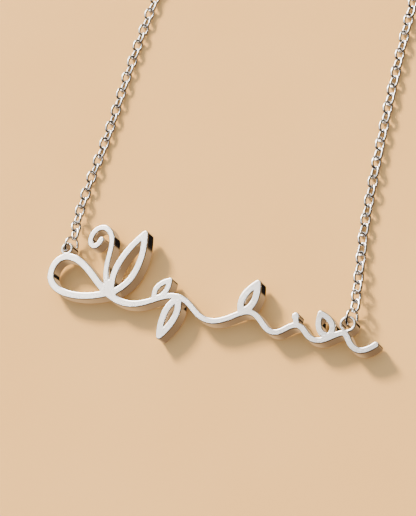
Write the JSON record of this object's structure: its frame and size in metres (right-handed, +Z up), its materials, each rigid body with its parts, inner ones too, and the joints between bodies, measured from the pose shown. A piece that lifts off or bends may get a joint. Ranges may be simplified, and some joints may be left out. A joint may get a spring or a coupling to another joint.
{
  "type": "nameplate necklace",
  "caption": "Openwork vine plate with a cast ring eyelet at each end, hung on a fine cable chain that closes with a plain ring clasp, laid out flat as one loop.",
  "frame": {"origin": "middle of the laid-out necklace's box, on the surface that it lies on", "axes": "+Y from the plate along the loop to the clasp, +X along the plate from its round end loop to its tail, +Z up from the surface"},
  "size_m": [0.0432, 0.1866, 0.0027],
  "materials": {
    "plate": "silver, fine satin front with polished walls",
    "wire": "polished silver",
    "chain": "polished silver"
  },
  "bodies": {
    "root": {"nameplate": "plate", "jump_ring_left": "wire", "jump_ring_right": "wire", "chain_left": "chain", "chain_right": "chain", "clasp": "wire", "catch_ring": "wire"}
  },
  "joints": []
}
